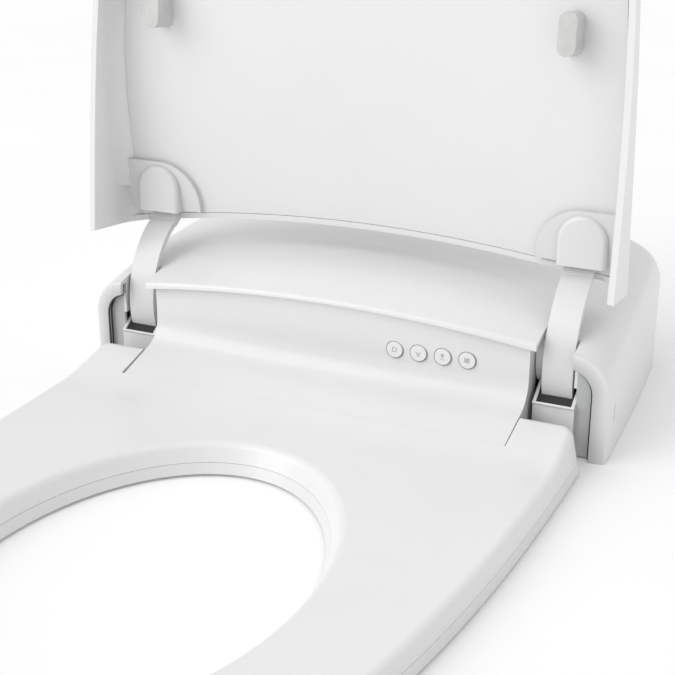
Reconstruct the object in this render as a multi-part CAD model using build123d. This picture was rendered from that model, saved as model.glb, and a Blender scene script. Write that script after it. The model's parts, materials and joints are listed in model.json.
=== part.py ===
from build123d import *
import math
import os

# Electric bidet seat: seat ring, raised lid on two curved arms, and a rear unit.
# Frame: origin on the deck plane midway between the two mounting bolt holes,
# +X to the user's left-to-right side, +Y to the back, +Z up, millimetres.
# The lid is modelled shut and then turned open, and it rests open.

# ---------------------------------------------------------------- driving dimensions
BOLT_SPACING = 140.0
BOLT_HOLE_R = 4.5

# rear unit
COVER_HALF = 185.5          # half width at the front lip
COVER_BACK = 195.0          # Y of the back face
BROW_Y = -27.0              # front edge of the cover on the centre line
BROW_SAG = 12.3             # how far the lip stands behind the brow
BROW_TOP = 84.0             # height of the brow on the centre line
ROOF_R = 620.0              # fore-and-aft radius of the roof
ROOF_SLOPE = 14.57          # slope of the roof at the brow, degrees
ARCH_R = 804.0              # side-to-side radius of the roof
SHOULDER_R = 25.0
COVER_WALL = 3.0
LIP_HALF = 175.0            # half width of the opening inside the lip
LIP_ARC = 17.0
BROW_WALL = 2.6
BROW_ROUND = 2.2

# console between the hinge pockets
CONSOLE_HALF = 134.5
CONSOLE_WALL = 2.5
SEAM_Y = -60.0              # line where the seat meets the console
SEAM_Z = 22.0
RAMP = 0.277                # rise of the ramp per millimetre
FACE_Y = -15.0              # face at the console's sides
FACE_LEAN = 0.155           # forward lean of the face on the centre line
FACE_BLEND = 18.0
BUTTON_R = 5.5
BUTTON_GAP = 0.4
BUTTON_PITCH = 16.15
BUTTON_FIRST = 46.4
BUTTON_Z = 55.0
BUTTON_TRAVEL = 1.2

# hinges
LID_AXIS = (24.0, 59.0)     # Y, Z
LID_OPEN = 96.0             # degrees from shut to open
SEAT_AXIS = (-25.0, 21.0)
ARM_IN = 141.0
ARM_OUT = 160.5
ARM_CENTRE = (51.8, 52.0)   # centre of the curved strap with the lid open
ARM_R = 61.3                # front face of the strap
ARM_T = 4.0
SLOT_IN = 139.4
SLOT_OUT = 162.0
COLUMN_IN = 137.5
COLUMN_OUT = 164.0
COLUMN_Y = -14.5
SLOT_R_IN = 28.6            # slot, measured outward from the lid axis
SLOT_R_OUT = 46.1
SLOT_ANGLE = 214.1
POCKET_R = 28.0
CHEEK_Y = -11.4             # front of the cheek beside the column
CHEEK_T = 2.4
CHEEK_GAP = 0.5             # seam between the cheek and the lip
ARM_REACH = 38.5            # furthest front of the strap in the slot
SHAFT_R = 5.0
PIN_R = 2.4
RUN_GAP = 0.05

# seat
SEAT_HALF = 175.0
SEAT_TOP_HALF = 168.5
SEAT_REAR = -28.5
SEAT_FRONT = -475.0
SEAT_BOTTOM = 1.6
SEAT_SPLIT = 8.0
SEAT_WALL = 2.8
OPENING_Y = -258.0
OPENING_HALF = 90.0
OPENING_LONG = 132.0
OPENING_FLARE = 12.0
EGG = 2.7                   # exponent of the egg-shaped outlines

# lid, shut
LID_HALF = 184.0
LID_REAR = -33.0
LID_SAG = 16.0
LID_FRONT = -484.0
LID_EDGE_Z = 12.1           # lower edge of the skirt
LID_SKIN = 3.2
LID_RIM = 4.0
LID_STOP_Z = 19.0           # lower end of the lid's soft pads
LID_CORNER = 24.0
PANEL_T = 2.6
PANEL_ARCH = 4000.0         # side-to-side radius of the inner panel
BOSS_Y = 20.0               # front of the bracket's boss with the lid open
BRACKET_PROUD = 3.6

# nozzle
NOZZLE_TILT = 18.0
NOZZLE_Z = 10.5
WAND_R = 4.5
WAND_X = 8.0
WAND_LONG = 146.0
NOZZLE_TRAVEL = 85.0
TOOTH_MODULE = 1.0
PINION_TEETH = 12
PINION_AT = 76.0            # place of the pinion along the nozzle line
RACK_PITCH_LINE = 1.5

# blower
FAN_X = -95.0
FAN_Y = 66.0
FAN_R = 24.0


# ---------------------------------------------------------------- helpers
def yz_solid(face, x_low, x_high):
    """Extrude a face drawn in Y, Z between two X stations."""
    return extrude(Plane.YZ.offset(x_low) * face, amount=x_high - x_low, dir=(1, 0, 0))


def box(x_low, x_high, y_low, y_high, z_low, z_high):
    """A box given by its corners."""
    size = (x_high - x_low, y_high - y_low, z_high - z_low)
    place = Pos((x_low + x_high) / 2, (y_low + y_high) / 2, (z_low + z_high) / 2)
    return place * Box(*size)


def rod_x(x_low, x_high, y, z, radius):
    """A round bar along X."""
    return Pos((x_low + x_high) / 2, y, z) * Rot(0, 90, 0) * Cylinder(radius, x_high - x_low)


def rod_y(y_low, y_high, x, z, radius):
    """A round bar along Y."""
    return Pos(x, (y_low + y_high) / 2, z) * Rot(90, 0, 0) * Cylinder(radius, y_high - y_low)


def rod_z(z_low, z_high, x, y, radius):
    """A round bar along Z."""
    return Pos(x, y, (z_low + z_high) / 2) * Cylinder(radius, z_high - z_low)


def largest(shape):
    """The biggest solid of a shape."""
    return shape.solids().sort_by(SortBy.VOLUME)[-1]


def mirrored(shape):
    """The same shape on the other side of the centre plane."""
    return mirror(shape, about=Plane.YZ)


def polar(centre, radius, degrees):
    """A point in the Y, Z plane from a centre."""
    angle = math.radians(degrees)
    return (centre[0] + radius * math.cos(angle), centre[1] + radius * math.sin(angle))


def ring_sector(centre, r_in, r_out, start, end):
    """A ring sector in the Y, Z plane."""
    middle = (start + end) / 2
    outer = ThreePointArc(*[polar(centre, r_out, a) for a in (start, middle, end)])
    inner = ThreePointArc(*[polar(centre, r_in, a) for a in (end, middle, start)])
    side_a = Line(outer @ 1, inner @ 0)
    side_b = Line(inner @ 1, outer @ 0)
    return make_face([outer, side_a, inner, side_b])


def egg_face(half, y_rear, y_front):
    """Egg-shaped outline: straight across the back, round at the front."""
    length = y_rear - y_front
    points = []
    for step in range(13):
        angle = math.radians(90 * step / 12)
        x = half * math.cos(angle) ** (2 / EGG)
        y = y_rear - length * math.sin(angle) ** (2 / EGG)
        points.append((x, y))
    right = Spline(points, tangents=[(0, -1), (-1, 0)])
    left = mirror(right, about=Plane.YZ)
    back = Line((half, y_rear), (-half, y_rear))
    return make_face([right, left, back])


def egg_prism(half, y_rear, y_front, z_low, z_high):
    """Upright solid with the egg-shaped outline."""
    return extrude(Pos(0, 0, z_low) * egg_face(half, y_rear, y_front), amount=z_high - z_low)


# ---------------------------------------------------------------- rear cover
def cover_plan(inset, extend_front):
    """Plan outline of the rear cover."""
    half = COVER_HALF - inset
    front = BROW_Y + inset - extend_front
    lip = front + BROW_SAG
    back = COVER_BACK - inset
    brow = ThreePointArc((half, lip), (0, front), (-half, lip))
    right = ThreePointArc((half, lip), (half - 2.5, 52), (half - 13.0, back))
    left = mirror(right, about=Plane.YZ)
    rear = ThreePointArc(right @ 1, (0, back + 4), left @ 1)
    return make_face([brow, right, left, rear])


def roof_solid(drop):
    """Everything under the doubly curved roof, lowered by drop."""
    slope = math.radians(ROOF_SLOPE)
    centre_y = BROW_Y + ROOF_R * math.sin(slope)
    centre_z = BROW_TOP - ROOF_R * math.cos(slope)
    top = centre_z + ROOF_R - drop
    half = 215.0
    edge = top - (ARCH_R - math.sqrt(ARCH_R**2 - half**2))
    arch = ThreePointArc((-half, edge), (0, top), (half, edge))
    sides = Polyline((half, edge), (half, -60), (-half, -60), (-half, edge))
    section = Plane.XZ.offset(-centre_y) * make_face([arch, sides])
    axis = Axis((0, centre_y, centre_z), (1, 0, 0))
    return revolve(section, axis, -9) + revolve(section, axis, 21)


def cover_solid(inset, extend_front=0.0, floor=0.0):
    """Closed outer form of the rear cover, or its inside when inset."""
    form = extrude(Pos(0, 0, floor) * cover_plan(inset, extend_front), amount=140)
    back = COVER_BACK - inset
    upright = [e for e in form.edges() if abs(e.center().Z - floor - 70) < 1 and e.center().Y > back - 15]
    form = fillet(upright, 42 - inset)
    form = form & roof_solid(inset)
    limit = BROW_Y + 4 - extend_front + inset
    rim = [e for e in form.edges() if e.center().Z > 45 and e.center().Y > limit + 10]
    form = fillet(rim, SHOULDER_R - inset)
    if inset > 0:
        return form
    brow = []
    for e in form.edges():
        middle = e.position_at(0.5)
        if middle.Y < BROW_Y + 6 and middle.Z > BROW_TOP - 8 and e.length > 100:
            brow.append(e)
    return fillet(brow, BROW_ROUND)


def lip_opening(inset=0.0):
    """The arch-shaped mouth inside the lip and under the brow."""
    low = 44.0
    half = LIP_HALF - inset
    corner = (half - LIP_ARC, low + LIP_ARC)
    top_z = BROW_TOP - BROW_WALL
    side_z = top_z - (ARCH_R - math.sqrt(ARCH_R**2 - 140.0**2))
    arch = ThreePointArc((-140, side_z), (0, top_z), (140, side_z))
    turn = polar((corner[0], low), LIP_ARC, 45)
    right = [
        Line((140, side_z), (corner[0], corner[1])),
        ThreePointArc((corner[0], corner[1]), turn, (half, low)),
        Line((half, low), (half, -5)),
    ]
    left = [mirror(e, about=Plane.YZ) for e in right]
    floor = Line((half, -5), (-half, -5))
    face = make_face([arch, *right, *left, floor])
    return extrude(Plane.XZ.offset(60) * face, amount=-100)


def arm_notch():
    """Cut through the brow where one lid arm comes up."""
    return box(SLOT_IN, SLOT_OUT, -60, LID_AXIS[0], 40, 130) - rod_x(130, 170, *LID_AXIS, POCKET_R + 0.2)


def filter_window():
    """Opening in the side wall for the filter drawer."""
    return box(-200, -150, 84, 124, 12, 44)


def rear_cover():
    """Moulded cover of the rear unit, open below and in front."""
    shell = cover_solid(0) - cover_solid(COVER_WALL, floor=-10)
    shell -= lip_opening() & box(-190, 190, -60, -2, -10, 120)
    shell -= arm_notch() + mirrored(arm_notch())
    shell -= filter_window()
    shell -= rod_y(180, 205, 112, 26, 14) + rod_y(180, 205, -112, 26, 9)
    shell -= sensor_form(0.15)
    return shell + cover_pillars()


def pillar_places():
    """Stations of the four screw pillars."""
    return [(side * x, y) for side in (-1, 1) for x, y in ((170.0, 52.0), (150.0, 150.0))]


def cover_pillars():
    """Pillars under the roof that take the base plate's screws."""
    pillars = [rod_z(6.7, 120, x, y, 5) - rod_z(6, 18, x, y, 1.8) for x, y in pillar_places()]
    room = cover_solid(1.0)
    return [pillar & room for pillar in pillars]


def sensor_form(grow):
    """Small upright oval window on the right side wall."""
    oval = Ellipse(1.8 + grow, 6.5 + grow)
    plane = Plane((COVER_HALF - 8, 3.0, 28.0), x_dir=(0, 1, 0), z_dir=(1, 0, 0))
    return extrude(plane * oval, amount=20)


# ---------------------------------------------------------------- console
def face_bulge(z):
    """How far the console's face stands forward on the centre line at one height."""
    return 1.2 + FACE_LEAN * (z - 34.0)


def face_y(x, z):
    """Y of the console's face."""
    return FACE_Y - face_bulge(z) * (1 - (x / CONSOLE_HALF) ** 2)


def console_form(inset):
    """Ramp and leaning, bulged face of the console, solid behind."""
    half = CONSOLE_HALF - inset
    top = SEAM_Z - 0.2 - inset
    side = [(SEAM_Y + 0.3 + inset, 1.2), (SEAM_Y + 0.3 + inset, top), (20, top + RAMP * 80), (20, 1.2)]
    ramp = yz_solid(Polygon(*side, align=None), -half, half)
    sections = []
    for z in (24.0, 100.0):
        front = FACE_Y + inset
        arc = ThreePointArc((-half, front), (0, front - face_bulge(z)), (half, front))
        rest = Polyline((half, front), (half, 20), (-half, 20), (-half, front))
        sections.append(Pos(0, 0, z) * make_face([arc, rest]))
    return ramp + loft(sections)


def console_outer():
    """Outer form with the hollow blend between ramp and face."""
    form = console_form(0)
    seam = []
    for e in form.edges():
        middle = e.position_at(0.5)
        if e.length > 200 and abs(middle.Y - FACE_Y) < 4 and 30 < middle.Z < 40:
            seam.append(e)
    return fillet(seam, FACE_BLEND)


def console_panel():
    """Front panel with its ramp and side walls, four button holes, nozzle port."""
    panel = console_outer() - console_form(CONSOLE_WALL) - box(-132, 132, -40, 30, -5, 8)
    panel &= box(-140, 140, -70, 0.0, 0, 100)
    panel &= roof_solid(COVER_WALL + 1.0)
    for x in button_places():
        panel -= rod_y(-26, -8, x, BUTTON_Z, BUTTON_R + BUTTON_GAP)
    panel -= rod_x(-140, 140, *SEAT_AXIS, PIN_R + 0.1)
    panel -= rod_x(-140, 140, *LID_AXIS, SHAFT_R + 0.1)
    for side in (-1, 1):
        panel -= tilted(rod_y(-20, 10, side * WAND_X, 0, WAND_R + 0.8))
    panel -= tilted(box(-4, 4, -20, 10, -3.5, 3.4))
    panel -= box(-68, -36, -62, -55, 6, 17)
    return panel


def button_places():
    """X stations of the four buttons."""
    return [BUTTON_FIRST + BUTTON_PITCH * i for i in range(4)]


def push_button(x):
    """Round cap with a collar that holds it behind the panel."""
    face = face_y(x, BUTTON_Z)
    cap = rod_y(face - 0.9, FACE_Y + 5.5, x, BUTTON_Z, BUTTON_R)
    front = [e for e in cap.edges() if e.center().Y < face]
    cap = fillet(front, 0.6)
    collar = rod_y(FACE_Y + 4.4, FACE_Y + 5.8, x, BUTTON_Z, BUTTON_R + 1.0)
    return cap + collar


def button_frame():
    """Dark carrier behind the panel that guides the four caps."""
    plate = box(34, 105, FACE_Y + 2.6, FACE_Y + 3.6, 44, 63)
    for x in button_places():
        plate -= rod_y(-20, 0, x, BUTTON_Z, BUTTON_R + 0.35)
    return plate


def switch_board():
    """Circuit board with one small switch behind each cap."""
    board = box(36, 103, 1.6, 3.2, 42, 62)
    for x in button_places():
        board += box(x - 3, x + 3, -2.2, 1.6, BUTTON_Z - 3, BUTTON_Z + 3)
        board += rod_y(-7.6, -2.2, x, BUTTON_Z, 1.6)
    return board


# ---------------------------------------------------------------- hinge pockets
def column_profile():
    """Side view of a hinge column: block under the slotted shelf."""
    lip = polar(LID_AXIS, SLOT_R_OUT + 0.9, SLOT_ANGLE)
    return Polygon((COLUMN_Y, 1.2), (38, 1.2), (38, 45), LID_AXIS, lip, (COLUMN_Y, lip[1] - 0.6), align=None)


def arm_room():
    """Space swept by the arm and its web inside the column."""
    room = yz_solid(ring_sector(LID_AXIS, 11.5, 50.0, 216.8, 395.0), SLOT_IN, SLOT_OUT)
    trim = box(SLOT_IN - 1, SLOT_OUT + 1, COLUMN_Y + 2.2, 90, 3.4, 120)
    return (room & trim) + yz_solid(ring_sector(LID_AXIS, SLOT_R_IN, SLOT_R_OUT, 190, 225), SLOT_IN, SLOT_OUT)


def hinge_pocket():
    """Right-hand pocket: slotted column, curved back wall and outer cheek."""
    column = yz_solid(column_profile(), COLUMN_IN, COLUMN_OUT)
    boss_in = rod_x(COLUMN_IN, SLOT_IN, *LID_AXIS, 13)
    boss_out = rod_x(SLOT_OUT, COLUMN_OUT, *LID_AXIS, 13)
    back = yz_solid(ring_sector(LID_AXIS, POCKET_R - 2.4, POCKET_R, 130, 216), 135.0, SLOT_OUT + 0.3)
    wall = box(COLUMN_OUT, LIP_HALF + 1.0, CHEEK_Y, CHEEK_Y + CHEEK_T, 1.2, 90)
    wall += box(SLOT_OUT + 0.2, COLUMN_OUT, CHEEK_Y, CHEEK_Y + CHEEK_T, 46, 90)
    cheek = lip_opening(CHEEK_GAP) & wall
    back += box(SLOT_OUT + 0.2, COLUMN_OUT, CHEEK_Y + 1.0, 26, 46, 120)
    body = column + boss_in + boss_out + (back & roof_solid(COVER_WALL + 0.1)) + cheek
    body -= arm_room() + rod_x(SLOT_IN, SLOT_OUT, *LID_AXIS, 11.5)
    return body - rod_x(130, 170, *LID_AXIS, SHAFT_R + 0.02)


def slot_seal():
    """Soft dark lip that closes the slot around the strap."""
    angle = SLOT_ANGLE
    front = ring_sector(LID_AXIS, ARM_REACH + 0.4, SLOT_R_OUT, angle, angle + 1.6)
    sides = ring_sector(LID_AXIS, POCKET_R + 0.6, ARM_REACH + 0.5, angle, angle + 1.6)
    seal = yz_solid(front, SLOT_IN, SLOT_OUT)
    seal += yz_solid(sides, SLOT_IN, ARM_IN - 0.5)
    return seal + yz_solid(sides, ARM_OUT + 0.5, SLOT_OUT)


def slot_rim():
    """Raised rim around one slot, lying on the sloping shelf."""
    start = polar(LID_AXIS, SLOT_R_OUT + 1.0, SLOT_ANGLE)
    end = polar(LID_AXIS, POCKET_R + 0.3, SLOT_ANGLE)
    length = math.dist(start, end)
    direction = Vector(0, end[0] - start[0], end[1] - start[1]).normalized()
    plane = Plane((0, *start), x_dir=(1, 0, 0), z_dir=Vector(1, 0, 0).cross(direction))
    outer = Pos((COLUMN_IN + COLUMN_OUT) / 2, length / 2) * Rectangle(COLUMN_OUT - COLUMN_IN, length)
    inner_long = length - 1.6
    inner = Pos((SLOT_IN + SLOT_OUT) / 2, 1.6 + inner_long / 2) * Rectangle(SLOT_OUT - SLOT_IN, inner_long + 0.4)
    return extrude(plane * (outer - inner), amount=1.2)


def lid_actuator():
    """Right-hand lid drive: damped gearmotor with the hinge shaft."""
    motor = rod_x(72, 128, *LID_AXIS, 14) + rod_x(128, 131.5, *LID_AXIS, 9)
    shaft = rod_x(131.5, 165.5, *LID_AXIS, SHAFT_R)
    foot = box(76, 124, LID_AXIS[0] - 8, LID_AXIS[0] + 8, 7.0, LID_AXIS[1] - 6)
    foot -= box(82, 118, LID_AXIS[0] - 9, LID_AXIS[0] + 9, 9.4, 42)
    return motor + shaft + foot


def seat_damper():
    """Right-hand seat damper with its pin."""
    return rod_x(97, 131, *SEAT_AXIS, 6.0) + rod_x(131, 147.2, *SEAT_AXIS, PIN_R)


# ---------------------------------------------------------------- lid
def lid_heights():
    """Stations of the lid from back to front: Y, top height, inner panel height."""
    return [
        (0.0, 91.2, 69.0),
        (-60.0, 76.0, 55.2),
        (-120.0, 66.5, 44.2),
        (-190.0, 60.5, 39.0),
        (-300.0, 56.0, 37.0),
        (-500.0, 50.0, 35.0),
    ]


def under_surface(column, lower, arch):
    """Solid under a crowned surface through the lid's stations."""
    sections = []
    half = 215.0
    for station in lid_heights():
        top = station[column] - lower
        edge = top - (arch - math.sqrt(arch**2 - half**2))
        curve = ThreePointArc((-half, edge), (0, top), (half, edge))
        sides = Polyline((half, edge), (half, -20), (-half, -20), (-half, edge))
        sections.append(Plane.XZ.offset(-station[0]) * make_face([curve, sides]))
    return loft(sections)


def lid_plan(inset):
    """Plan outline of the lid with its bowed back edge."""
    face = egg_face(LID_HALF - inset, LID_REAR + LID_SAG, LID_FRONT + inset)
    radius = (LID_HALF**2 + LID_SAG**2) / (2 * LID_SAG)
    back = LID_REAR - inset
    return face & _bow(back, radius)


def _bow(back, radius):
    """Large face whose rear edge bows towards the front at the middle."""
    left = (-260.0, back + radius - math.sqrt(radius**2 - 260.0**2))
    right = (260.0, left[1])
    arc = ThreePointArc(left, (0, back), right)
    rest = Polyline(right, (260, -600), (-260, -600), left)
    return make_face([arc, rest])


def lid_block(inset, lower, floor, corner):
    """Solid lid form with rounded side and front edges."""
    form = extrude(Pos(0, 0, floor) * lid_plan(inset), amount=120) & under_surface(1, lower, ARCH_R)
    rim = []
    for e in form.edges():
        middle = e.position_at(0.5)
        if middle.Z > 30 and middle.Y < -60 and e.length > 150:
            rim.append(e)
    return fillet(rim, corner)


def lid_outer_shell():
    """Outer moulding of the lid, with its deep skirt, modelled shut."""
    shell = lid_block(0, 0, LID_EDGE_Z, LID_CORNER)
    shell -= lid_block(LID_RIM, LID_SKIN, -30, LID_CORNER - LID_RIM)
    half = LID_HALF - LID_RIM
    mouth = box(-half, half, LID_REAR - 12, LID_REAR + 30, -30, 120) & under_surface(2, 0, PANEL_ARCH)
    turn = 14.0
    for side in (-1, 1):
        mouth -= mouth_corner(side * half, turn)
    return shell - mouth


def mouth_corner(x_edge, turn):
    """Rounded inner corner between the skirt and the back edge."""
    x_mid = x_edge - math.copysign(turn, x_edge)
    z_mid = 46.0
    block = box(min(x_edge, x_mid), max(x_edge, x_mid), -60, 30, z_mid, 100)
    return block - rod_y(-61, 31, x_mid, z_mid, turn)


def lid_inner_panel():
    """Flat inner moulding that closes the lid from below."""
    slab = under_surface(2, -PANEL_T, PANEL_ARCH) - under_surface(2, 0, PANEL_ARCH)
    inset = LID_RIM + 0.3
    outline = extrude(Pos(0, 0, -30) * lid_plan(inset), amount=200)
    panel = slab & outline
    return panel & lid_block(LID_RIM + 0.3, LID_SKIN + 0.3, -30, LID_CORNER - LID_RIM)


def opened(shape):
    """Turn a shape built shut to its open rest place."""
    return _turn(shape, -LID_OPEN)


def _turn(shape, degrees):
    return shape.rotate(Axis((0, *LID_AXIS), (1, 0, 0)), degrees)


def lid_bracket():
    """Right-hand bracket, open place: D-shaped plate with an arch-topped boss."""
    reach = 34.0
    plate = extrude(Plane.XZ.offset(-BOSS_Y) * _bracket_plate(), amount=-reach)
    plate -= opened(under_surface(2, BRACKET_PROUD, PANEL_ARCH))
    boss = extrude(Plane.XZ.offset(-BOSS_Y) * _boss_outline(), amount=-reach)
    front = [e for e in boss.edges() if abs(e.center().Y - BOSS_Y) < 0.1 and e.center().Z > 113]
    boss = fillet(front, 3.0)
    return ((plate + boss) & opened(under_surface(2, 0, PANEL_ARCH))) - lid_arm()


def _bracket_plate():
    """Outline of the plate: straight outside and on top, round inside."""
    low, high = 113.5, 148.0
    inner, outer = 122.0, 179.0
    curve = 30.0
    arc = ThreePointArc(
        (inner, high - curve),
        (inner + curve * (1 - math.cos(math.pi / 4)), high - curve * (1 - math.sin(math.pi / 4))),
        (inner + curve, high),
    )
    rest = Polyline((inner + curve, high), (outer, high), (outer, low), (inner, low), (inner, high - curve))
    return make_face([arc, rest])


def _boss_outline():
    """Outline of the boss: flat below, arched above."""
    inner, outer, low = 136.8, 168.6, 112.6
    radius = (outer - inner) / 2
    spring = 129.5
    middle = (inner + outer) / 2
    arc = ThreePointArc((inner, spring), (middle, spring + radius), (outer, spring))
    rest = Polyline((outer, spring), (outer, low), (inner, low), (inner, spring))
    return make_face([arc, rest])


def lid_arm():
    """Right-hand curved strap with its web and hub, open place."""
    strap = yz_solid(ring_sector(ARM_CENTRE, ARM_R - ARM_T, ARM_R, 117, 209), ARM_IN, ARM_OUT)
    neck = [(22.6, 105.0), (24.9, 101.6), (31.6, 105.5), (31.6, 126), (27.8, 126), (27.4, 111.0)]
    strap += yz_solid(Polygon(*neck, align=None), ARM_IN, ARM_OUT)
    hub = rod_x(ARM_IN + 1.5, ARM_OUT - 1.5, *LID_AXIS, 10)
    corners = [polar(LID_AXIS, r, a) for r, a in ((8.5, 228), (40.5, 226), (42.5, 236), (8.5, 270))]
    web = yz_solid(Polygon(*corners, align=None), ARM_IN + 3, ARM_OUT - 3)
    return strap + web + hub - rod_x(130, 170, *LID_AXIS, SHAFT_R + RUN_GAP)


# ---------------------------------------------------------------- seat
def seat_top_profile():
    """Side view of the space under the seat's top surface."""
    path = FilletPolyline(
        (-10, SEAM_Z + RAMP * 50),
        (SEAM_Y - 14, SEAM_Z - RAMP * 10),
        (SEAT_FRONT - 20, 16.4),
        radius=90,
    )
    rest = Polyline(path @ 1, (SEAT_FRONT - 20, -10), (-10, -10), path @ 0)
    return make_face([path, rest])


def seat_block(inset, lower):
    """Closed seat form without its opening."""
    low = egg_face(SEAT_HALF - inset, SEAT_REAR - inset, SEAT_FRONT + inset)
    high_half = SEAT_TOP_HALF - inset
    high = egg_face(high_half, SEAT_REAR - inset, SEAT_FRONT + SEAT_HALF - SEAT_TOP_HALF + inset)
    form = loft([Pos(0, 0, SEAT_BOTTOM) * low, Pos(0, 0, 34) * high])
    corners = [e for e in form.edges() if e.center().Y > SEAT_REAR - inset - 1 and e.length < 40]
    form = fillet(corners, 9.0 - inset)
    form &= yz_solid(seat_top_profile(), -190, 190).moved(Pos(0, 0, -lower))
    gap = 0.6 + inset
    form -= box(-CONSOLE_HALF - 1 - inset, CONSOLE_HALF + 1 + inset, SEAM_Y - gap, 10, -10, 60)
    return form


def opening_cone(grow):
    """Flared oval opening through the seat."""
    low = Ellipse(OPENING_HALF + grow, OPENING_LONG + grow)
    high = Ellipse(OPENING_HALF + OPENING_FLARE + grow, OPENING_LONG + OPENING_FLARE + grow)
    return loft([Pos(0, OPENING_Y, -1) * low, Pos(0, OPENING_Y, 24) * high])


def seat_form():
    """Whole seat with rounded edges, before it is parted in two."""
    form = seat_block(0, 0) - opening_cone(0)
    rim = []
    for e in form.edges():
        middle = e.center()
        if middle.Z > 12 and e.length > 300 and middle.Y < -150:
            rim.append(e)
    form = fillet(rim, 5.0)
    return form


def nozzle_relief():
    """Channel under the back of the seat for the wands."""
    return tilted(box(-15, 15, -80, 2, -9, 5.6))


def seat_upper_shell():
    """Top moulding of the seat."""
    void = (seat_block(SEAT_WALL, SEAT_WALL) - opening_cone(SEAT_WALL)) & box(-200, 200, -500, 0, -5, 60)
    void -= tilted(box(-18, 18, -80, 10, -12, 8.4))
    shell = (SEAT_BODY & box(-200, 200, -500, 0, SEAT_SPLIT, 60)) - void
    return shell - nozzle_relief() - hinge_lug() - mirrored(hinge_lug())


def seat_lower_shell():
    """Bottom tray of the seat."""
    void = (seat_block(SEAT_WALL, 0) - opening_cone(SEAT_WALL)) & box(-200, 200, -500, 0, SEAT_BOTTOM + 2.4, 30)
    tray = SEAT_BODY & box(-200, 200, -500, 0, SEAT_BOTTOM, SEAT_SPLIT - 0.2)
    tray = tray - void - nozzle_relief() - hinge_lug() - mirrored(hinge_lug())
    return largest(tray)


def seat_heater():
    """Thin heating mat under the top moulding."""
    top = seat_block(SEAT_WALL + 3, SEAT_WALL + 0.2) - opening_cone(SEAT_WALL + 5)
    under = seat_block(SEAT_WALL + 2, SEAT_WALL + 1.0) - opening_cone(SEAT_WALL + 4)
    mat = (top - under) & box(-165, 165, -455, -72, 11, 60)
    mat -= box(-26, 26, -112, -50, -10, 60)
    return largest(mat)


def hinge_lug():
    """Right-hand metal lug that joins the seat to its pin."""
    eye = rod_x(138.2, 147, *SEAT_AXIS, 4.0)
    bar = box(138.2, 147, -52, SEAT_AXIS[0], 11.5, 19.5)
    return eye + bar


def seat_hinge_lug():
    """The lug with its running hole."""
    return hinge_lug() - rod_x(130, 150, *SEAT_AXIS, PIN_R + RUN_GAP)


def oblong_pad(x, y, z_low, z_high):
    """One oblong soft pad, long from front to back."""
    outline = Pos(x, y, z_low) * SlotOverall(26, 11, rotation=90)
    return extrude(outline, amount=z_high - z_low)


def seat_bumpers():
    """Four soft pads that carry the seat on the bowl's rim."""
    places = [(side * x, y) for x, y in ((146, -130), (118, -375)) for side in (-1, 1)]
    return [oblong_pad(x, y, 0.0, SEAT_BOTTOM) for x, y in places]


def lid_bumpers():
    """Four soft pads inside the lid that rest on the seat."""
    places = [(side * x, y) for x, y in ((140, -170), (110, -400)) for side in (-1, 1)]
    pads = []
    for x, y in places:
        post = oblong_pad(x, y, LID_STOP_Z, 60.0)
        pads.append(post & under_surface(2, 0, PANEL_ARCH))
    return pads


# ---------------------------------------------------------------- base and fixing
def base_plate():
    """Floor of the rear unit."""
    plan = Pos(0, 0, 4.0) * cover_plan(COVER_WALL + 0.6, 0)
    plate = extrude(plan, amount=2.6)
    back = COVER_BACK - COVER_WALL - 0.6
    upright = [e for e in plate.edges() if abs(e.center().Z - 5.3) < 0.1 and e.center().Y > back - 15]
    plate = fillet(upright, 38)
    front = box(-CONSOLE_HALF + 3.2, CONSOLE_HALF - 3.2, -56.4, 3.0, 4.0, 6.6)
    plate = (plate & box(-190, 190, 1.0, 220, 0, 10)) + front
    for side in (-1, 1):
        plate -= rod_z(0, 10, side * BOLT_SPACING / 2, 0, 13)
        plate -= box(side * 151 - 15.5, side * 151 + 14.5, -20, 40, 0, 10)
    for x, y in pillar_places():
        plate -= rod_z(0, 10, x, y, 1.8)
    plate -= tilted(box(-16, 16, -10, 60, -8, 8))
    plate -= box(-24, 24, -60, -18, 0, 10)
    return plate


def mounting_plate():
    """Plate bolted to the deck; the rear unit clips down on it."""
    plate = box(-98, 98, -16, 62, 0, 4.0)
    upright = plate.edges().filter_by(Axis.Z)
    plate = fillet(upright, 8)
    for side in (-1, 1):
        plate -= rod_z(-1, 5, side * BOLT_SPACING / 2, 0, BOLT_HOLE_R)
    return plate


def base_feet():
    """Soft feet that carry the rear unit on the deck."""
    return [rod_z(0, 4.0, x, y, 9) for x in (-120, 120) for y in (95, 165)]


# ---------------------------------------------------------------- nozzle
def tilted(shape):
    """Place a shape drawn along Y on the sloping nozzle line."""
    return Pos(0, SEAM_Y, NOZZLE_Z) * Rot(NOZZLE_TILT, 0, 0) * shape


def wand(side):
    """One stainless spray tube."""
    x = side * WAND_X
    tube = rod_y(1.5, WAND_LONG, x, 0, WAND_R) - rod_y(12, WAND_LONG + 1, x, 0, WAND_R - 0.8)
    tip = [e for e in tube.edges() if e.center().Y < 2]
    tube = fillet(tip, 2.0)
    tube -= rod_z(2, 6, x, 7.0, 1.1)
    return tilted(tube)


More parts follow.
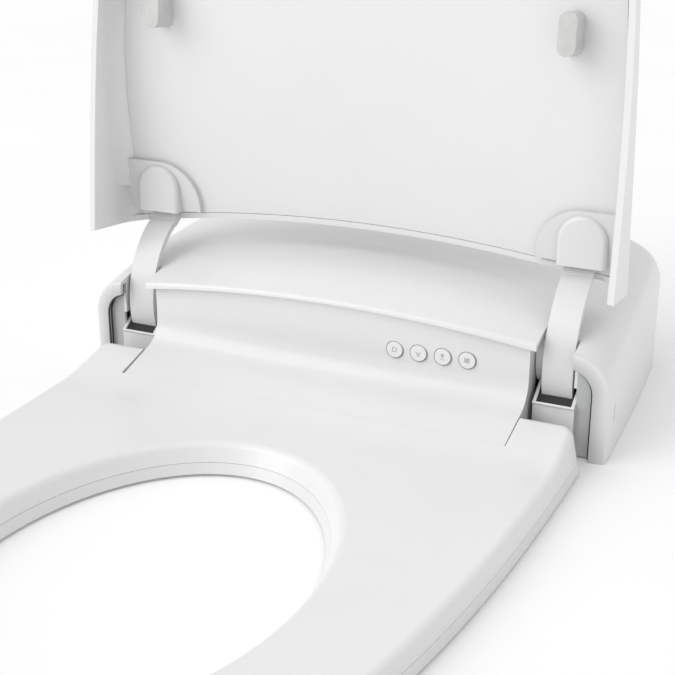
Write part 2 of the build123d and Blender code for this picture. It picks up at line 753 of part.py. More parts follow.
def rack_teeth():
    """Toothed bar between the wands, with its teeth up."""
    pitch = math.pi * TOOTH_MODULE
    root = RACK_PITCH_LINE - 1.25 * TOOTH_MODULE
    tip = RACK_PITCH_LINE + TOOTH_MODULE
    bar = box(-2.3, 2.3, PINION_AT - 8, PINION_AT + NOZZLE_TRAVEL + 8, -3.0, root)
    slope = math.tan(math.radians(20))
    count = int((NOZZLE_TRAVEL + 6) / pitch) + 1
    for i in range(-2, count):
        middle = PINION_AT + i * pitch
        low = pitch / 4 - 0.08 + 1.25 * TOOTH_MODULE * slope
        high = pitch / 4 - 0.08 - TOOTH_MODULE * slope
        foot = [(middle - low, root), (middle + low, root)]
        crest = [(middle + high, tip), (middle - high, tip)]
        bar += yz_solid(Polygon(*foot, *crest, align=None), -2.3, 2.3)
    return bar


def nozzle_carriage():
    """Sled that carries both wands, with its rack."""
    block = box(-13.5, 13.5, WAND_LONG, WAND_LONG + 9, -4.7, 4.5)
    block -= box(-2.7, 2.7, WAND_LONG - 1, WAND_LONG + 10, -2.0, 6)
    return tilted(rack_teeth() + block)


def nozzle_pinion():
    """Twelve-tooth pinion and its shaft, in mesh with the rack."""
    pitch_r = PINION_TEETH * TOOTH_MODULE / 2
    root_r = pitch_r - 1.25 * TOOTH_MODULE
    tip_r = pitch_r + TOOTH_MODULE
    centre = (PINION_AT, RACK_PITCH_LINE + pitch_r + 0.12)
    gear = Circle(root_r)
    for i in range(PINION_TEETH):
        step = 360 / PINION_TEETH
        right = [(1.0, root_r - 0.4), (0.6, pitch_r), (0.25, tip_r)]
        left = [(-x, y) for x, y in reversed(right)]
        gear += Rot(0, 0, step * (i + 0.5)) * Polygon(*right, *left, align=None)
    wheel = yz_solid(Pos(*centre) * gear, -2.2, 2.2)
    shaft = rod_x(2.2, 17, *centre, 1.5)
    return tilted(wheel + shaft)


def nozzle_motor():
    """Stepper motor beside the wands."""
    centre = (PINION_AT, RACK_PITCH_LINE + PINION_TEETH * TOOTH_MODULE / 2 + 0.12)
    can = rod_x(17.6, 34, *centre, 10) + rod_x(15.8, 17.6, *centre, 4)
    can -= rod_x(10, 20, *centre, 1.6)
    ear = box(15.6, 19.2, centre[0] + 6, centre[0] + 14, -3.0, centre[1] + 3)
    ear -= rod_x(15, 17.7, *centre, 10.4)
    return tilted(can + ear - rod_x(10, 20, *centre, 1.6))


def nozzle_cradle():
    """Sloping channel that guides the wands."""
    low = -WAND_R - 0.5
    floor = box(-15.6, 15.6, 8, 168, low - 2.0, low)
    walls = box(13.9, 15.6, 8, 168, low, 2.0) + box(-15.6, -13.9, 8, 168, low, 2.0)
    stand = box(-15.6, -12, 74, 100, 6.6, 80) + box(12, 15.6, 74, 100, 6.6, 80)
    under = tilted(box(-20, 20, 8, 168, -80, low - 1.0))
    return tilted(floor + walls) + (stand & under)


# ---------------------------------------------------------------- blower and filter
def fan_housing():
    """Blower case with its duct to the outlet behind the seat."""
    outer = rod_z(10, 40, FAN_X, FAN_Y, FAN_R + 6) + box(-70, -38, -56.6, FAN_Y, 7.0, 18.5)
    inner = rod_z(12, 38, FAN_X, FAN_Y, FAN_R + 4) + box(-68, -40, -60, FAN_Y, 8.8, 16.8)
    case = outer - inner
    case -= rod_z(9, 13, FAN_X, FAN_Y, 3)
    case -= rod_z(36, 42, FAN_X, FAN_Y, 12)
    return case


def fan_impeller():
    """Blower wheel with curved blades."""
    wheel = rod_z(13.5, 15, FAN_X, FAN_Y, FAN_R) + rod_z(13.5, 30, FAN_X, FAN_Y, 5)
    blades = 18
    for i in range(blades):
        turn = Rot(0, 0, 360 / blades * i)
        blade = Rot(0, 0, 25) * box(-5, 5, -0.5, 0.5, 15, 34)
        wheel += Pos(FAN_X, FAN_Y, 0) * turn * Pos(FAN_R - 5.5, 0, 0) * blade
    return wheel - rod_z(12, 28, FAN_X, FAN_Y, 1.55)


def fan_motor():
    """Blower motor under the case, with its spindle."""
    return rod_z(6.6, 10, FAN_X, FAN_Y, 13) + rod_z(10, 26, FAN_X, FAN_Y, 1.5)


def dryer_grille():
    """Louvred outlet of the dryer in the console's front."""
    frame = box(-68, -36, -59.6, -57.4, 6, 17) - box(-65.5, -38.5, -61, -55, 8, 15)
    for i in range(5):
        x = -61.5 + 4.75 * i
        frame += box(x - 0.6, x + 0.6, -59.2, -57.6, 7.5, 15.5)
    return frame


def filter_cartridge():
    """Pull-out odour filter with its finger face."""
    skin = cover_solid(0) & box(-200, -150, 84.3, 123.7, 12.3, 43.7)
    face = skin & box(-200, -171, 80, 130, 0, 60)
    grip = box(-200, -176.5, 98, 110, 17, 23)
    core = box(-171.5, -146, 87, 121, 15, 41)
    return face - grip + core


def filter_case():
    """Sleeve that holds the filter."""
    sleeve = box(-168, -143, 84.5, 123.5, 12.5, 43.5) - box(-170, -145.4, 86.6, 121.4, 14.6, 41.4)
    return sleeve + box(-162, -150, 96, 112, 6.6, 12.5)


# ---------------------------------------------------------------- water and power
def water_tank():
    """Heated tank with rounded edges."""
    tank = box(38, 128, 92, 150, 9, 70)
    tank = fillet(tank.edges(), 6)
    return tank + box(50, 60, 100, 112, 6.6, 12) + box(106, 116, 100, 112, 6.6, 12)


def tank_heater():
    """Heater head on the tank."""
    return rod_z(70, 76, 83, 121, 20) + rod_z(76, 84, 76, 121, 3) + rod_z(76, 84, 90, 121, 3)


def water_pump():
    """Small pump on the floor."""
    return rod_y(48, 84, 84, 22, 13) + box(72, 96, 52, 80, 6.6, 12) + rod_y(84, 92, 84, 30, 4)


def inlet_valve():
    """Solenoid valve between the inlet and the tank."""
    body = box(98, 126, 158, 186, 12, 40)
    return body + rod_z(40, 58, 112, 172, 10) + rod_y(150, 158, 112, 26, 5) + box(106, 118, 160, 180, 6.6, 12)


def inlet_fitting():
    """Water inlet: flange and outside thread stub."""
    stub = rod_y(186, 214, 112, 26, 10.45) + rod_y(186, 190, 112, 26, 12.5)
    return stub - rod_y(185, 215, 112, 26, 6.5)


def power_gland():
    """Bush for the mains lead, with nothing in it."""
    bush = rod_y(188, 204, -112, 26, 8.9) + rod_y(184, 188.0, -112, 26, 12)
    return bush - rod_y(180, 210, -112, 26, 4)


def power_supply():
    """Closed power supply box."""
    case = fillet(box(-134, -60, 112, 176, 6.6, 46).edges().filter_by(Axis.Z), 4)
    return case


def control_board():
    """Main circuit board with its larger parts."""
    board = box(-132, 20, 106, 178, 56, 57.6)
    for x, y, w, d, h in ((-110, 130, 24, 20, 14), (-60, 150, 16, 16, 8), (-10, 130, 20, 14, 10)):
        board += box(x - w / 2, x + w / 2, y - d / 2, y + d / 2, 57.6, 57.6 + h)
    for x in (-54, 14):
        board += rod_z(6.6, 56, x, 174, 2.4)
    return board


def hose_path(points, radius, tube):
    """A short tube through points with rounded turns."""
    path = FilletPolyline(*points, radius=radius)
    plane = Plane(path @ 0, z_dir=path % 0)
    return sweep(plane * (Circle(tube) - Circle(tube - 1.2)), path=path)


def nozzle_hose():
    """Hose from the tank to the back of the nozzle cradle."""
    return hose_path([(38, 120, 30), (24, 120, 30), (24, 96, 30), (24, 96, 64)], 7, 3.5)


def cover_screws():
    """Screws that hold the base plate to the cover's pillars."""
    return [rod_z(2.2, 4.0, x, y, 4) + rod_z(4.0, 14, x, y, 1.78) for x, y in pillar_places()]


SEAT_BODY = seat_form()


def sided(name, build, parts):
    """Add a right-hand part and its mirror image."""
    right = build()
    parts[name + "_right"] = right
    parts[name + "_left"] = mirrored(right)


def build_parts():
    """Every node of the seat."""
    arms = lid_arm() + mirrored(lid_arm())
    lid_shell = opened(lid_outer_shell()) - arms
    parts = {
        "rear_cover": rear_cover(),
        "console_panel": console_panel(),
        "side_sensor_window": (cover_solid(0) & sensor_form(0)),
        "button_frame": button_frame(),
        "switch_board": switch_board(),
        "base_plate": base_plate(),
        "mounting_plate": mounting_plate(),
        "base_feet": Compound(base_feet()),
        "cover_screws": Compound(cover_screws()),
        "lid_outer_shell": lid_shell,
        "lid_inner_panel": opened(lid_inner_panel()) - arms,
        "seat_upper_shell": seat_upper_shell(),
        "seat_lower_shell": seat_lower_shell(),
        "seat_heater": seat_heater(),
        "seat_bumpers": Compound(seat_bumpers()),
        "lid_bumpers": opened(Compound(lid_bumpers())),
        "nozzle_wands": Compound([wand(-1), wand(1)]),
        "nozzle_carriage": nozzle_carriage(),
        "nozzle_pinion": nozzle_pinion(),
        "nozzle_motor": nozzle_motor(),
        "nozzle_cradle": nozzle_cradle(),
        "fan_housing": fan_housing(),
        "fan_impeller": fan_impeller(),
        "fan_motor": fan_motor(),
        "dryer_grille": dryer_grille(),
        "filter_cartridge": filter_cartridge(),
        "filter_case": filter_case(),
        "water_tank": water_tank(),
        "tank_heater": tank_heater(),
        "water_pump": water_pump(),
        "inlet_valve": inlet_valve(),
        "inlet_fitting": inlet_fitting(),
        "power_gland": power_gland(),
        "power_supply": power_supply(),
        "control_board": control_board(),
        "nozzle_hose": nozzle_hose(),
    }
    for name, x in zip(("stop", "rear_wash", "front_wash", "dryer"), button_places()):
        parts[name + "_button"] = push_button(x)
    sided("hinge_pocket", hinge_pocket, parts)
    sided("slot_rim", slot_rim, parts)
    sided("slot_seal", slot_seal, parts)
    sided("lid_actuator", lid_actuator, parts)
    sided("seat_damper", seat_damper, parts)
    sided("lid_bracket", lambda: largest(lid_bracket() - lid_shell), parts)
    sided("lid_arm", lid_arm, parts)
    sided("seat_hinge_lug", seat_hinge_lug, parts)
    return parts


def main():
    os.makedirs("parts", exist_ok=True)
    for name, shape in build_parts().items():
        export_step(shape, f"parts/{name}.step")


main()
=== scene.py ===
import json
import math

import bmesh
import bpy
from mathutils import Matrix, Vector


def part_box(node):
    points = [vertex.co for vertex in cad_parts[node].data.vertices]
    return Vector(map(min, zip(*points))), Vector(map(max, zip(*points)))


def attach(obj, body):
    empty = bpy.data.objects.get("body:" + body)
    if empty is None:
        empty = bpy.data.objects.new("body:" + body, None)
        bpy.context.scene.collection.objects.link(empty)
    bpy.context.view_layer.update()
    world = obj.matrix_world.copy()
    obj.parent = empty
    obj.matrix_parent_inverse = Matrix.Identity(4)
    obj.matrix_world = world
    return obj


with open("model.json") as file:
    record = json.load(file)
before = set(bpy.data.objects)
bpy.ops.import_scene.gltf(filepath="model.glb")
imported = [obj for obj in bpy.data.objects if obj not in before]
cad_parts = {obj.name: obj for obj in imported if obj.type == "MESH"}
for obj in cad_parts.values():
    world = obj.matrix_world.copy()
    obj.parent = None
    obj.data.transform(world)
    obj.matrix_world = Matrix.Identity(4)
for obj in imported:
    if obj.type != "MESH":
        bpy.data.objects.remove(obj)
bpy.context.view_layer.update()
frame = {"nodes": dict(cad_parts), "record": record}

# ---------------------------------------------------------------- shared sizes, in metres
MM = 0.001
LID_AXIS = Vector((0.0, 24.0, 59.0)) * MM
SHELF_TILT = math.radians(34.1)     # slope of the slotted shelf
SLOT_SPAN = (139.3 * MM, 162.1 * MM)
CHEEK_X = 164.05 * MM
COLUMN_FRONT = -14.5 * MM
LIP_TURN = (158.0 * MM, 44.0 * MM)  # centre of the lip's rounded corner: X, Z
LIP_RADIUS = 17.0 * MM
LIP_FRONT = -15.4 * MM
LIP_SHADE_WIDTH = 11 * MM                  # width of the painted shade band beside the seam
# reach of the crevice darkening, partly dirt and partly painted shade
DUST_AND_SHADE_REACH = 7 * MM
# reach of the painted contact shade
CONTACT_REACH = 38 * MM
KNURL_TEETH = 36
PAINTED_SHADE_GREY = (0.50, 0.505, 0.51)         # painted shade: grey on the cheeks and on the lip beside them
SIDES = {"right": 1, "left": -1}
BUTTONS = ("stop", "rear_wash", "front_wash", "dryer")


# ---------------------------------------------------------------- materials
class Shader:
    """A material under construction, with short calls for its nodes."""

    def __init__(self, name):
        self.material = bpy.data.materials.new(name)
        self.material.use_nodes = True
        self.tree = self.material.node_tree
        self.tree.nodes.clear()
        self.output = self.tree.nodes.new("ShaderNodeOutputMaterial")
        self.surface = self.tree.nodes.new("ShaderNodeBsdfPrincipled")
        self.link(self.surface.outputs[0], self.output.inputs[0])
        self.place = self.tree.nodes.new("ShaderNodeTexCoord").outputs["Object"]

    def link(self, start, end):
        self.tree.links.new(start, end)

    def value(self, socket, number):
        self.surface.inputs[socket].default_value = number

    def math(self, operation, first, second=0.0, clamp=False):
        node = self.tree.nodes.new("ShaderNodeMath")
        node.operation = operation
        node.use_clamp = clamp
        for index, item in enumerate((first, second)):
            if isinstance(item, (int, float)):
                node.inputs[index].default_value = item
            else:
                self.link(item, node.inputs[index])
        return node.outputs[0]

    def noise(self, scale, detail=2.0, rough=0.5, stretch=None):
        node = self.tree.nodes.new("ShaderNodeTexNoise")
        node.inputs["Scale"].default_value = scale
        node.inputs["Detail"].default_value = detail
        node.inputs["Roughness"].default_value = rough
        place = self.place
        if stretch:
            mapping = self.tree.nodes.new("ShaderNodeMapping")
            mapping.inputs["Scale"].default_value = stretch
            self.link(place, mapping.inputs["Vector"])
            place = mapping.outputs[0]
        self.link(place, node.inputs["Vector"])
        return node.outputs["Fac"]

    def spread(self, source, low, high, start=0.3, end=0.7):
        """Map a noise value onto a range of numbers."""
        node = self.tree.nodes.new("ShaderNodeMapRange")
        limits = {"From Min": start, "From Max": end, "To Min": low, "To Max": high}
        for name, number in limits.items():
            node.inputs[name].default_value = number
        self.link(source, node.inputs["Value"])
        return node.outputs[0]

    def mix(self, share, first, second):
        """Mix two colours."""
        node = self.tree.nodes.new("ShaderNodeMix")
        node.data_type = "RGBA"
        for index, item in ((0, share), (6, first), (7, second)):
            if isinstance(item, (tuple, float)):
                node.inputs[index].default_value = (*item, 1.0) if isinstance(item, tuple) else item
            else:
                self.link(item, node.inputs[index])
        return node.outputs[2]

    def bump(self, heights):
        """Chain bumps from (height, strength, distance) rows."""
        normal = None
        for height, strength, distance in heights:
            node = self.tree.nodes.new("ShaderNodeBump")
            node.inputs["Strength"].default_value = strength
            node.inputs["Distance"].default_value = distance
            self.link(height, node.inputs["Height"])
            if normal:
                self.link(normal, node.inputs["Normal"])
            normal = node.outputs[0]
        self.link(normal, self.surface.inputs["Normal"])

    def crevice(self, reach):
        """Openness of the surface, from 0 in corners to 1 in the open."""
        node = self.tree.nodes.new("ShaderNodeAmbientOcclusion")
        node.samples = 6
        node.inputs["Distance"].default_value = reach
        return node.outputs["AO"]

    def axis(self, name):
        node = self.tree.nodes.new("ShaderNodeSeparateXYZ")
        self.link(self.place, node.inputs[0])
        return node.outputs[name]


def tinted(colour, factor):
    """A colour made darker or lighter."""
    return tuple(min(1.0, part * factor) for part in colour)


def plastic(name, colour, rough, coat=0.0, grain=0.3, extra=None):
    """Moulded plastic: soft mottling, painted contact shade, crevice darkening that is partly dirt
    and partly painted shade, uneven gloss, orange peel.
    """
    shader = Shader(name)
    cloud = shader.spread(shader.noise(7.0, 4.0, 0.6), 0.0, 1.0, 0.1, 0.9)
    base = shader.mix(cloud, tinted(colour, 0.965), tinted(colour, 1.02))
    # painted contact shade: darker where little open space surrounds the surface
    contact = shader.spread(shader.crevice(CONTACT_REACH), 0.0, 1.0, 0.3, 1.0)
    base = shader.mix(contact, tinted(colour, 0.84), base)
    # crevice darkening, multiplied in at 0.35: partly dirt, partly painted shade
    dust_and_shade = shader.spread(shader.crevice(DUST_AND_SHADE_REACH), 0.82, 1.0, 0.25, 0.95)
    grime_and_shade = shader.mix(dust_and_shade, tinted(colour, 0.72), (1.0, 1.0, 1.0))
    node = shader.tree.nodes.new("ShaderNodeMix")
    node.data_type = "RGBA"
    node.blend_type = "MULTIPLY"
    node.inputs[0].default_value = 0.35
    shader.link(base, node.inputs[6])
    shader.link(grime_and_shade, node.inputs[7])
    result = node.outputs[2]
    if extra:
        result = extra(shader, result)
    shader.link(result, shader.surface.inputs["Base Color"])
    wipes = shader.noise(18.0, 3.0, 0.5)
    gloss = shader.spread(wipes, rough * 0.94, rough * 1.08, 0.0, 1.0)
    shader.link(gloss, shader.surface.inputs["Roughness"])
    shader.value("Coat Weight", coat)
    shader.value("Coat Roughness", 0.16)
    shader.value("IOR", 1.49)
    peel = shader.noise(420.0, 2.0)
    swell = shader.noise(24.0, 2.0)
    shader.bump([(swell, 0.03 * grain, 1 * MM), (peel, 0.08 * grain, 0.1 * MM)])
    return shader.material


def pocket_painted_shade(shader, base):
    """Painted shade: grey on the cheek outside the column and near-black in the recess under the
    slotted shelf.
    """
    across = shader.math("ABSOLUTE", shader.axis("X"))
    cheek = shader.math("GREATER_THAN", across, CHEEK_X)
    inside = shader.math("GREATER_THAN", across, SLOT_SPAN[0])
    inside = shader.math("MULTIPLY", inside, shader.math("LESS_THAN", across, SLOT_SPAN[1]))
    behind_axis = shader.math("SUBTRACT", shader.axis("Y"), LID_AXIS.y)
    above_axis = shader.math("SUBTRACT", shader.axis("Z"), LID_AXIS.z)
    depth = shader.math("MULTIPLY", behind_axis, -math.sin(SHELF_TILT))
    height = shader.math("MULTIPLY", above_axis, math.cos(SHELF_TILT))
    under = shader.math("LESS_THAN", shader.math("ADD", depth, height), -0.4 * MM)
    behind = shader.math("GREATER_THAN", shader.axis("Y"), COLUMN_FRONT + 0.5 * MM)
    # painted shade: near-black inside the column under the slotted shelf
    shelf_shade = shader.math("MULTIPLY", shader.math("MULTIPLY", inside, under), behind)
    # painted shade: grey on the cheek
    result = shader.mix(cheek, base, PAINTED_SHADE_GREY)
    return shader.mix(shelf_shade, result, (0.008, 0.008, 0.009))


def lip_painted_shade(shader, base):
    """Painted shade: slightly darker front band of the cover, deepest beside the pocket's seam."""
    side = shader.math("SUBTRACT", shader.math("ABSOLUTE", shader.axis("X")), LIP_TURN[0])
    rise = shader.math("MAXIMUM", shader.math("SUBTRACT", shader.axis("Z"), LIP_TURN[1]), 0.0)
    squares = shader.math("ADD", shader.math("POWER", side, 2.0), shader.math("POWER", rise, 2.0))
    reach = shader.math("SQRT", squares)
    share = shader.spread(shader.math("SUBTRACT", reach, LIP_RADIUS), 1.0, 0.0, 0.0, LIP_SHADE_WIDTH)
    outward = shader.math("GREATER_THAN", side, 0.0)
    front = shader.spread(shader.axis("Y"), 1.0, 0.0, -14.2 * MM, -12.8 * MM)
    below = shader.spread(reach, 1.0, 0.0, 28 * MM, 29 * MM)
    where = shader.math("MULTIPLY", outward, below)
    mask = shader.math("MULTIPLY", where, shader.math("MULTIPLY", front, share))
    # painted shade mixed over the band
    return shader.mix(mask, base, PAINTED_SHADE_GREY)


def metal(name, colour, rough, stretch=(1.0, 18.0, 1.0)):
    """Brushed metal with streaks, small pits and uneven polish."""
    shader = Shader(name)
    streaks = shader.noise(160.0, 6.0, 0.7, stretch)
    cloud = shader.spread(shader.noise(30.0, 3.0), 0.0, 1.0)
    tone = shader.mix(cloud, tinted(colour, 0.86), colour)
    shader.link(tone, shader.surface.inputs["Base Color"])
    gloss = shader.spread(streaks, rough * 0.7, rough * 1.5)
    shader.link(gloss, shader.surface.inputs["Roughness"])
    shader.value("Metallic", 1.0)
    shader.bump([(streaks, 0.12, 0.1 * MM)])
    return shader.material


def rubber(name, colour):
    """Soft matt rubber with a fine grain and pale bloom."""
    shader = Shader(name)
    grain = shader.noise(900.0, 3.0, 0.6)
    bloom = shader.spread(shader.noise(60.0, 4.0, 0.6), 0.0, 1.0)
    tone = shader.mix(bloom, tinted(colour, 0.85), tinted(colour, 1.06))
    shader.link(tone, shader.surface.inputs["Base Color"])
    shader.link(shader.spread(grain, 0.45, 0.7), shader.surface.inputs["Roughness"])
    shader.value("Sheen Weight", 0.15)
    shader.bump([(grain, 0.25, 0.15 * MM)])
    return shader.material


def circuit(name):
    """Solder-masked board with copper tracks under the mask."""
    shader = Shader(name)
    node = shader.tree.nodes.new("ShaderNodeTexBrick")
    node.inputs["Scale"].default_value = 180.0
    node.inputs["Mortar Size"].default_value = 0.03
    node.inputs["Color1"].default_value = (0.02, 0.16, 0.07, 1)
    node.inputs["Color2"].default_value = (0.03, 0.20, 0.09, 1)
    node.inputs["Mortar"].default_value = (0.10, 0.34, 0.16, 1)
    shader.link(shader.place, node.inputs["Vector"])
    shader.link(node.outputs[0], shader.surface.inputs["Base Color"])
    gloss = shader.noise(200.0, 3.0)
    shader.link(shader.spread(gloss, 0.25, 0.5), shader.surface.inputs["Roughness"])
    shader.bump([(gloss, 0.1, 0.1 * MM)])
    return shader.material


WHITE = (0.83, 0.83, 0.832)
MATERIALS = {
    "shell_white": plastic("gloss_shell", WHITE, 0.30, 0.25),
    "liner_white": plastic("satin_liner", (0.81, 0.81, 0.815), 0.34, 0.15),
    "trim_white": plastic("gloss_trim", (0.84, 0.84, 0.84), 0.30, 0.2),
    # pocket moulding: white, with painted shade on the cheeks and under the shelf
    "cheek_grey": plastic("pocket_moulding_painted_shade", WHITE, 0.28, 0.2, extra=pocket_painted_shade),
    "dark_plastic": plastic("black_plastic", (0.02, 0.02, 0.022), 0.42, grain=1.0),
    "inner_grey": plastic("inner_moulding", (0.33, 0.34, 0.36), 0.5, grain=1.5),
    "sensor_dark": plastic("sensor_lens", (0.50, 0.51, 0.53), 0.12, 0.6),
    "soft_rubber": rubber("soft_pad", (0.62, 0.62, 0.61)),
    "steel": metal("stainless", (0.62, 0.62, 0.63), 0.28),
    "brass": metal("turned_brass", (0.72, 0.55, 0.28), 0.3),
    "foil": metal("heater_foil", (0.75, 0.75, 0.76), 0.35),
    "circuit": circuit("green_board"),
}
ARM = plastic("gloss_arm", (0.76, 0.76, 0.765), 0.30, 0.2)
# cover material: white with a painted shade band beside the pocket seams
COVER_PAINTED_SHADE = plastic("gloss_cover_painted_shade", WHITE, 0.30, 0.25, extra=lip_painted_shade)
INK = plastic("print_grey", (0.30, 0.31, 0.33), 0.4)
GAP = plastic("dark_gap", (0.03, 0.03, 0.033), 0.5)


def dress_frame():
    """Give every CAD node the material of its slot."""
    slots = {row["node"]: row["material_slot"] for row in frame["record"]["subparts"]}
    for node, obj in frame["nodes"].items():
        material = MATERIALS[slots[node]]
        if node == "rear_cover":
            material = COVER_PAINTED_SHADE
        if node.startswith(("lid_arm_", "lid_bracket_")):
            material = ARM
        obj.data.materials.clear()
        obj.data.materials.append(material)


# ---------------------------------------------------------------- mesh pieces
def piece(name, build, body, material, smooth=True):
    """Make a mesh piece from a bmesh builder and let it ride on a body."""
    mesh = bpy.data.meshes.new(name)
    form = bmesh.new()
    build(form)
    bmesh.ops.recalc_face_normals(form, faces=form.faces)
    form.to_mesh(mesh)
    form.free()
    if smooth:
        mesh.shade_smooth()
    obj = bpy.data.objects.new(name, mesh)
    bpy.context.scene.collection.objects.link(obj)
    mesh.materials.append(material)
    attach(obj, body)
    return obj


def lathe_y(form, centre, profile, segments=64):
    """Revolve (radius, y) points about a line along Y through the centre."""
    rings = []
    for step in range(segments):
        angle = 2 * math.pi * step / segments
        ring = []
        for radius, y in profile:
            point = (centre.x + radius * math.cos(angle), y, centre.z + radius * math.sin(angle))
            ring.append(form.verts.new(point))
        rings.append(ring)
    count = len(profile)
    for step in range(segments):
        near, far = rings[step], rings[(step + 1) % segments]
        for index in range(count):
            after = (index + 1) % count
            form.faces.new((near[index], near[after], far[after], far[index]))


def middle(node):
    """Centre of a node's box, and its corners."""
    low, high = (Vector(corner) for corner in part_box(node))
    return (low + high) / 2, low, high


def button_rings():
    """Thin dark ring in the gap around each button cap."""
    for name in BUTTONS:
        centre, low, _ = middle(name + "_button")
        front = low.y + 0.9 * MM
        profile = [(5.62, 0.0), (5.72, -0.25), (5.90, -0.30)]
        profile += [(6.05, -0.18), (6.10, 0.5), (5.62, 0.9)]
        rows = [(radius * MM, front + y * MM) for radius, y in profile]
        piece("ring_" + name, lambda form: lathe_y(form, centre, rows), "unit", INK)


def stroke(form, points, radius, front):
    """A flat rounded line on a button face through (x, z) points."""
    for start, end in zip(points, points[1:]):
        a, b = Vector(start), Vector(end)
        along = (b - a).normalized()
        side = Vector((-along.y, along.x)) * radius
        outline = []
        for k in range(7):
            turn = math.pi * (k / 6 + 0.5)
            outline.append(a + along * radius * math.cos(turn) + side * math.sin(turn))
        for k in range(7):
            turn = math.pi * (k / 6 - 0.5)
            outline.append(b + along * radius * math.cos(turn) + side * math.sin(turn))
        top = [form.verts.new((p.x, front - 0.06 * MM, p.y)) for p in outline]
        base = [form.verts.new((p.x, front + 0.02 * MM, p.y)) for p in outline]
        form.faces.new(top)
        form.faces.new(base[::-1])
        for k in range(len(top)):
            after = (k + 1) % len(top)
            form.faces.new((top[k], base[k], base[after], top[after]))


def arc(radius, start, end, steps=8, at=(0.0, 0.0)):
    """Points of an arc, degrees, in millimetres."""
    result = []
    for k in range(steps + 1):
        angle = math.radians(start + (end - start) * k / steps)
        result.append((at[0] + radius * math.cos(angle), at[1] + radius * math.sin(angle)))
    return result


def icon_lines(name):
    """Line work of the generic symbol on one button, in millimetres."""
    if name == "stop":
        return [[(-1.3, -1.3), (1.3, -1.3), (1.3, 1.3), (-1.3, 1.3), (-1.3, -1.3)]]
    if name == "rear_wash":
        bowl = arc(1.7, 200, 340, at=(0, 1.4))
        jets = [[(0, -2.0), (0, -0.9)], [(-0.9, -2.0), (-0.6, -1.0)], [(0.9, -2.0), (0.6, -1.0)]]
        return [bowl, *jets]
    if name == "front_wash":
        head = arc(0.8, 0, 360, 12, at=(0, 1.2))
        jets = [[(0, 0.3), (0, -0.8)], [(-1.0, -2.0), (-0.6, -1.2)], [(1.0, -2.0), (0.6, -1.2)]]
        return [head, *jets]
    waves = []
    for row in (-1.1, 0.0, 1.1):
        waves.append([(-1.8 + 0.3 * k, row + 0.35 * math.sin(k * 0.9)) for k in range(13)])
    return waves


def button_icons():
    """Small printed symbol on each cap."""
    for name in BUTTONS:
        centre, low, _ = middle(name + "_button")

        def build(form):
            for line in icon_lines(name):
                points = [(centre.x + x * MM, centre.z + z * MM) for x, z in line]
                stroke(form, points, 0.16 * MM, low.y)

        piece("symbol_" + name, build, name + "_cap", INK, smooth=False)


def capsule(form, centre, across, up, depth):
    """An upright rounded bar, flat on its two faces, seen from the back."""
    radius = across / 2
    rise = up / 2 - radius
    outline = []
    for k in range(9):
        turn = math.pi * k / 8
        outline.append((radius * math.cos(turn), rise + radius * math.sin(turn)))
    for k in range(9):
        turn = math.pi * (1 + k / 8)
        outline.append((radius * math.cos(turn), -rise + radius * math.sin(turn)))
    loops = []
    for shrink, y in ((1.0, -depth), (1.0, 0.7 * depth), (0.86, depth)):
        loop = [Vector((x * shrink, y, z * shrink)) for x, z in outline]
        loops.append([form.verts.new(centre + point) for point in loop])
    for near, far in zip(loops, loops[1:]):
        for k in range(len(outline)):
            after = (k + 1) % len(outline)
            form.faces.new((near[k], near[after], far[after], far[k]))
    form.faces.new(loops[0])
    form.faces.new(loops[-1][::-1])


def pocket_seams():
    """Thin dark seam between each pocket's cheek and the cover's lip."""
    path = []
    for k in range(13):
        angle = math.radians(78.0 - 6.5 * k)
        path.append((math.cos(angle), math.sin(angle), LIP_TURN[1]))
    path.append((1.0, 0.0, 22 * MM))
    path.append((1.0, 0.0, 1.5 * MM))
    corners = ((-0.05, 0.5), (-0.05, 0.1), (0.2, -0.1), (0.75, -0.1), (0.95, 0.1), (0.95, 0.5))

    for side, sign in SIDES.items():
        def build(form):
            loops = []
            for across, up, base in path:
                loop = []
                for inset, back in corners:
                    radius = LIP_RADIUS - inset * MM
                    x = LIP_TURN[0] + radius * across
                    y = LIP_FRONT + back * MM
                    loop.append(form.verts.new((sign * x, y, base + radius * up)))
                loops.append(loop)
            for near, far in zip(loops, loops[1:]):
                for k in range(len(corners)):
                    after = (k + 1) % len(corners)
                    form.faces.new((near[k], near[after], far[after], far[k]))
            form.faces.new(loops[0])
            form.faces.new(loops[-1][::-1])

        piece("pocket_seam_" + side, build, "unit", GAP)


def rear_vents():
    """Row of cooling louvres across the back of the cover, drawn as dark bars: painted shade for
    the insides of the vent slots.
    """
    high = Vector(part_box("rear_cover")[1])
    half = 172.5 * MM

    def build(form):
        for k in range(11):
            x = (-50.0 + 10.0 * k) * MM
            back = high.y - 4.0 * MM * (x / half) ** 2
            capsule(form, Vector((x, back, 30 * MM)), 4 * MM, 26 * MM, 0.5 * MM)

    # dark bars: painted shade for the vent slots
    piece("rear_louvres_painted_shade", build, "unit", GAP)


def inlet_nut():
    """Knurled ring at the root of the water inlet."""
    centre, _, high = middle("inlet_fitting")

    def build(form):
        rings = []
        for k in range(KNURL_TEETH * 2):
            angle = math.pi * k / KNURL_TEETH
            outer = (13.6 if k % 2 else 14.3) * MM
            ring = []
            for radius, y in ((10.7 * MM, 0.0), (outer, 0.6), (outer, 6.4), (10.7 * MM, 7.0)):
                x = centre.x + radius * math.cos(angle)
                z = centre.z + radius * math.sin(angle)
                place = high.y - 24.0 * MM + 4.4 * MM + y * MM
                ring.append(form.verts.new((x, place, z)))
            rings.append(ring)
        count = len(rings)
        for k in range(count):
            near, far = rings[k], rings[(k + 1) % count]
            for index in range(4):
                after = (index + 1) % 4
                form.faces.new((near[index], near[after], far[after], far[index]))

    piece("inlet_nut", build, "unit", MATERIALS["dark_plastic"], smooth=False)


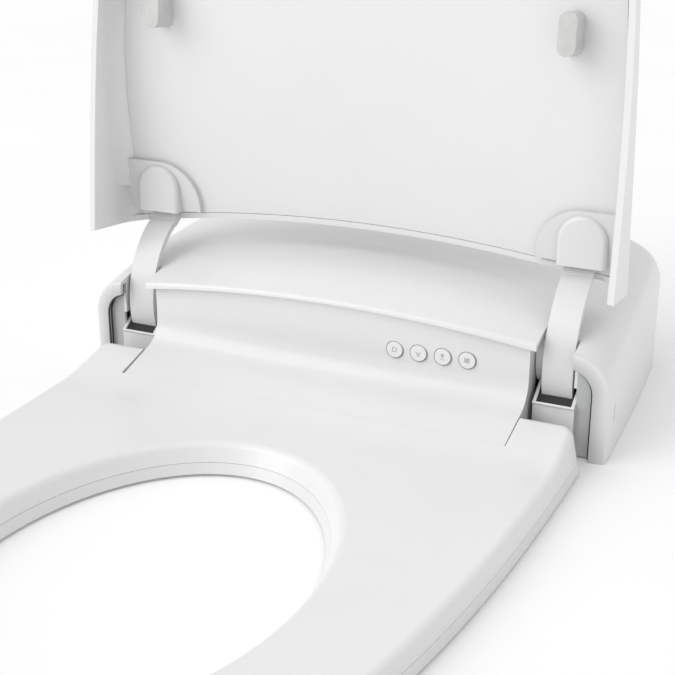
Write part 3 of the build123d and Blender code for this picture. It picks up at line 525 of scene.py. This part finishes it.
# ---------------------------------------------------------------- stage, light, camera
def stage():
    """Plain pale floor."""
    mesh = bpy.data.meshes.new("floor")
    half = 60.0
    corners = [(-half, -half, 0), (half, -half, 0), (half, half, 0), (-half, half, 0)]
    mesh.from_pydata(corners, [], [(0, 1, 2, 3)])
    floor = bpy.data.objects.new("floor", mesh)
    floor.location.z = -0.2 * MM
    bpy.context.scene.collection.objects.link(floor)
    shader = Shader("pale_floor")
    cloud = shader.spread(shader.noise(3.0, 3.0), 0.0, 1.0)
    tone = shader.mix(cloud, (0.92, 0.92, 0.92), (0.95, 0.95, 0.95))
    shader.link(tone, shader.surface.inputs["Base Color"])
    shader.value("Roughness", 0.8)
    shader.value("Emission Color", (1.0, 1.0, 1.0, 1.0))
    shader.value("Emission Strength", 0.06)
    mesh.materials.append(shader.material)


def soft_sun(name, toward, spread, power):
    """An even, wide light that shines along a direction."""
    data = bpy.data.lights.new(name, "SUN")
    data.angle = math.radians(spread)
    data.energy = power
    light = bpy.data.objects.new(name, data)
    light.rotation_euler = Vector(toward).to_track_quat("-Z", "Y").to_euler()
    bpy.context.scene.collection.objects.link(light)


def lights():
    """Soft studio light from all around, stronger from the front left and above."""
    world = bpy.data.worlds.new("studio")
    bpy.context.scene.world = world
    world.use_nodes = True
    background = world.node_tree.nodes["Background"]
    background.inputs["Color"].default_value = (1.0, 1.0, 1.0, 1.0)
    background.inputs["Strength"].default_value = 0.70
    soft_sun("key", (0.66, 0.66, -0.62), 50.0, 1.15)
    soft_sun("top", (0.10, 0.10, -1.0), 60.0, 0.32)
    bpy.context.scene.view_settings.view_transform = "Standard"


def camera():
    """Camera above the front right, looking down and to the back left."""
    data = bpy.data.cameras.new("camera")
    data.sensor_width = 36.0
    data.lens = 71.15
    data.clip_start = 0.02
    view = bpy.data.objects.new("camera", data)
    view.location = Vector((348.8, -753.2, 368.0)) * MM
    view.rotation_euler = (math.radians(90.0 - 21.03), 0.0, math.radians(25.03))
    bpy.context.scene.collection.objects.link(view)
    bpy.context.scene.camera = view


dress_frame()
button_rings()
button_icons()
pocket_seams()
rear_vents()
inlet_nut()
stage()
lights()
camera()
